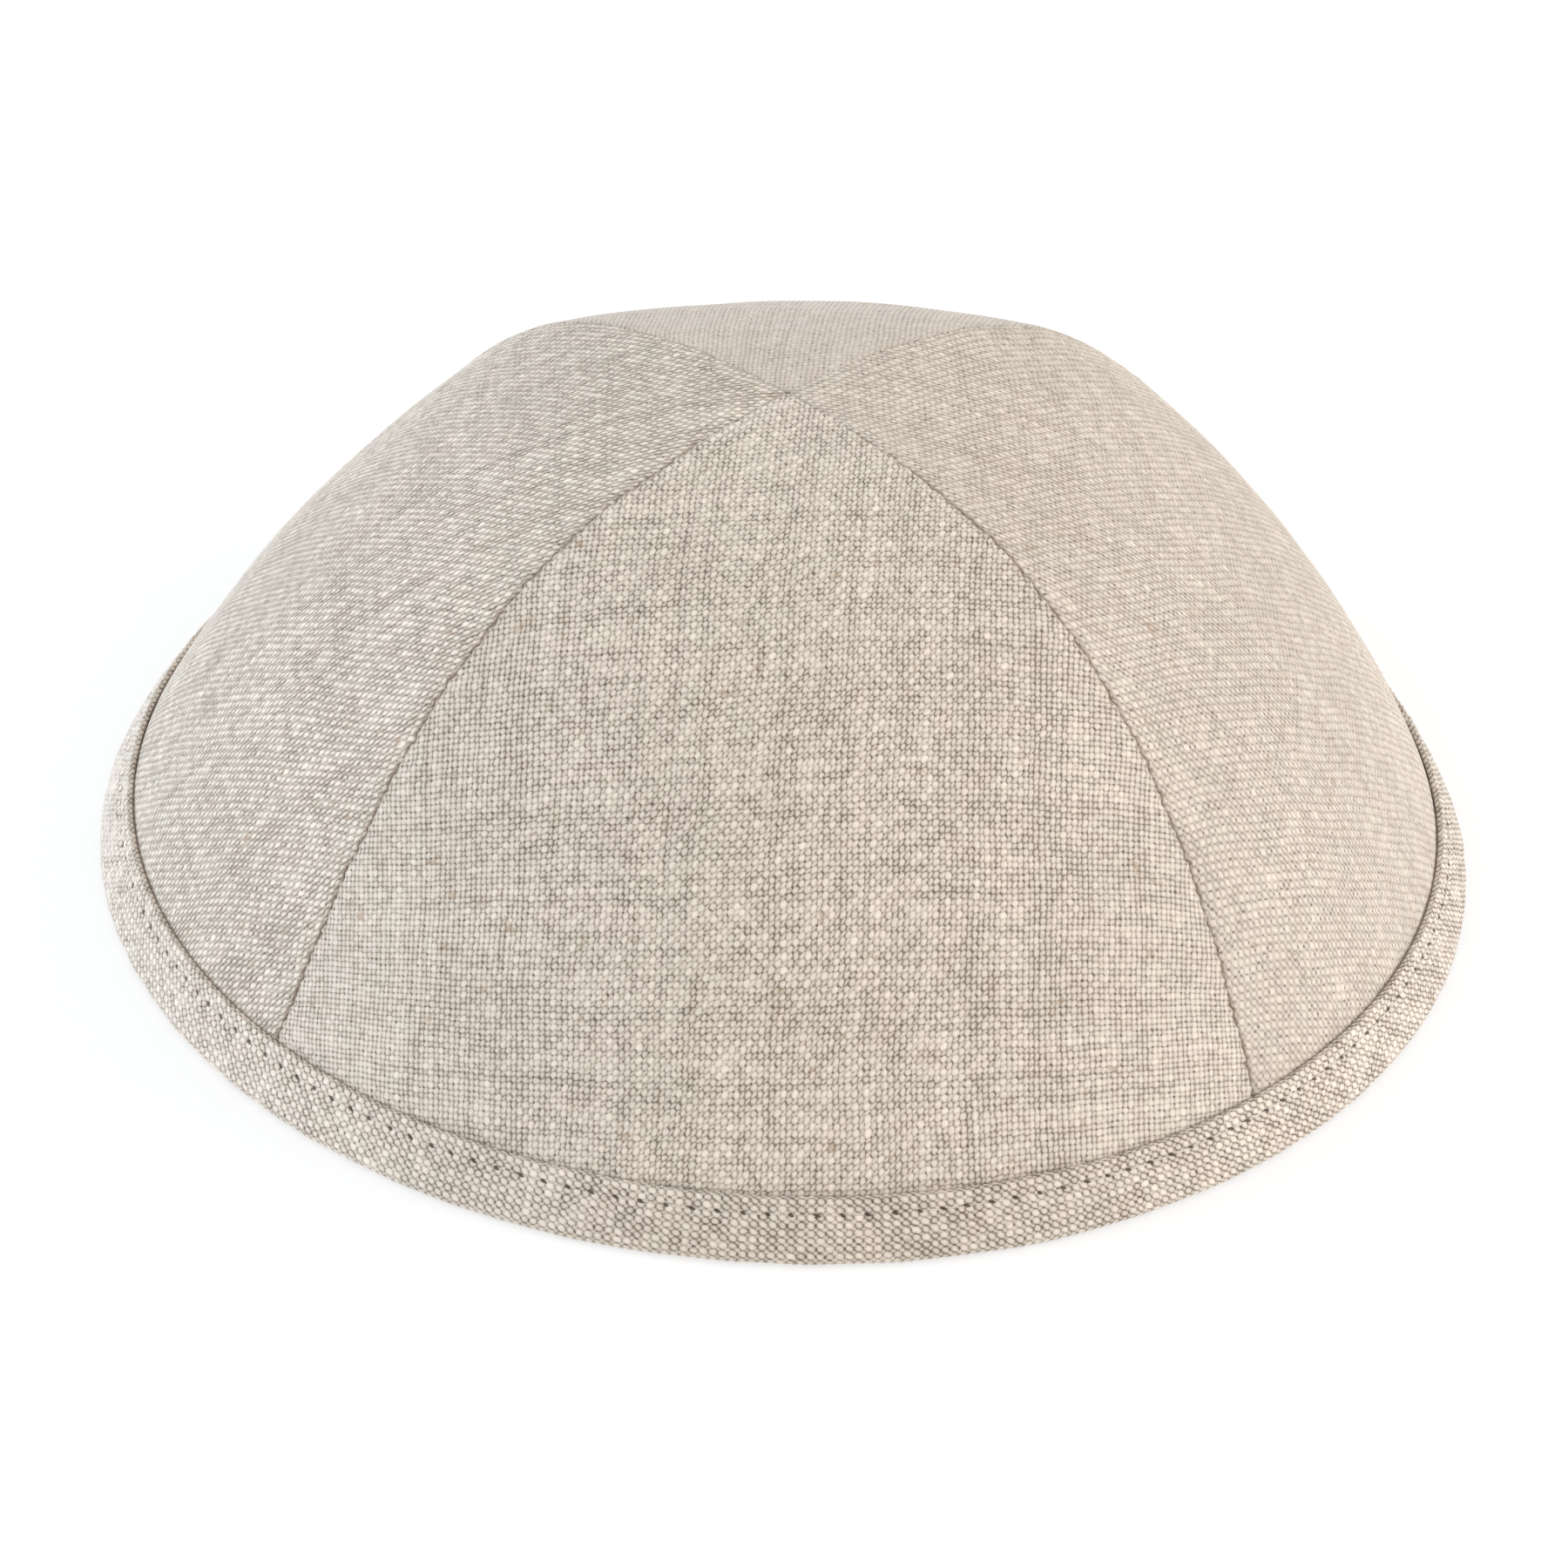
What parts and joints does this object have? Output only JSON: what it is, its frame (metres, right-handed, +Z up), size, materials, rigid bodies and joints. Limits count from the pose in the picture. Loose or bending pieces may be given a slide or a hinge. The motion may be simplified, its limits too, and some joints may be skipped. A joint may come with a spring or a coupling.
{
  "type": "linen skullcap",
  "caption": "Plain linen skullcap: curved crown panels sewn edge to edge and meeting at the top, with a topstitched band folded round the rim, open below for a head.",
  "frame": {"origin": "centre of the rim's circle, in the plane that the cap rests on", "axes": "+Z up through the crown, -Y towards the front panel and +X towards the right panel"},
  "size_m": [0.1704, 0.1704, 0.0644],
  "materials": {
    "crown_linen": "matte natural linen in plain weave, with slubs, small brown flecks and a soft uneven tone",
    "band_linen": "matte natural linen in plain weave, folded round the rim and topstitched in linen thread"
  },
  "bodies": {
    "root": {"crown_panel_front": "crown_linen", "crown_panel_right": "crown_linen", "crown_panel_back": "crown_linen", "crown_panel_left": "crown_linen", "rim_band": "band_linen"}
  },
  "joints": []
}
